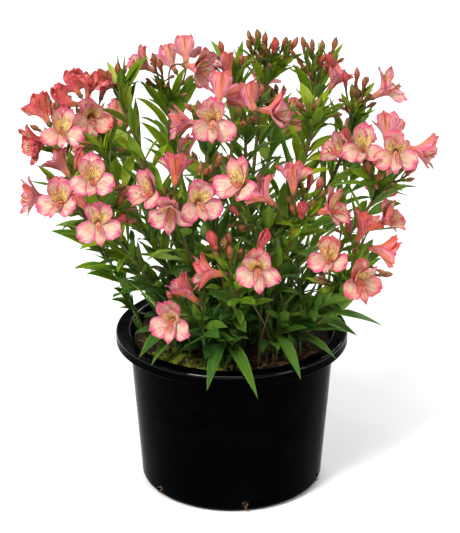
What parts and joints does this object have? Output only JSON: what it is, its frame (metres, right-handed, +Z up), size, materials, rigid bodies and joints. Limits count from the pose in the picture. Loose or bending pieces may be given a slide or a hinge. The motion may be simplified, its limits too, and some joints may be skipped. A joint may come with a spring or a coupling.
{
  "type": "potted peruvian lily",
  "caption": "Bushy flowering Peruvian lily with pink trumpet blooms, narrow leaves and bronze buds, growing in a round black nursery pot with a rolled rim.",
  "frame": {"origin": "centre of the pot's flat underside, on the surface that it stands on", "axes": "+Z up along the pot's axis; -Y towards the side that the picture shows; +X to the right of it"},
  "size_m": [0.4171, 0.3529, 0.4643],
  "materials": {
    "pot_plastic": "glossy moulded black plastic",
    "soil": "dark crumbly peat soil",
    "foliage": "fresh green leaves and stems, satin",
    "petals": "soft petals, cream at the throat and pink to crimson at the edges"
  },
  "bodies": {
    "root": {"pot": "pot_plastic", "soil": "soil", "stem_01": "foliage", "stem_02": "foliage", "stem_03": "foliage", "stem_04": "foliage", "stem_05": "foliage", "stem_06": "foliage", "stem_07": "foliage", "stem_08": "foliage", "stem_09": "foliage", "stem_10": "foliage", "stem_11": "foliage", "stem_12": "foliage", "stem_13": "foliage", "stem_14": "foliage", "stem_15": "foliage", "stem_16": "foliage", "stem_17": "foliage", "stem_18": "foliage", "stem_19": "foliage", "stem_20": "foliage", "stem_21": "foliage", "stem_22": "foliage", "stem_23": "foliage", "stem_24": "foliage", "stem_25": "foliage", "stem_26": "foliage", "umbel_01": "petals", "umbel_02": "petals", "umbel_03": "petals", "umbel_04": "petals", "umbel_05": "petals", "umbel_06": "petals", "umbel_07": "petals", "umbel_08": "petals", "umbel_09": "petals", "umbel_10": "petals", "umbel_11": "petals", "umbel_12": "petals", "umbel_13": "petals", "umbel_14": "petals", "umbel_15": "petals", "umbel_16": "petals", "umbel_17": "petals", "umbel_18": "petals", "umbel_19": "petals", "umbel_20": "petals", "umbel_21": "petals", "umbel_22": "petals", "umbel_23": "petals", "umbel_24": "petals", "umbel_25": "petals", "umbel_26": "petals", "shoot_01": "foliage", "shoot_02": "foliage", "shoot_03": "foliage", "shoot_04": "foliage", "shoot_05": "foliage", "shoot_06": "foliage"}
  },
  "joints": []
}
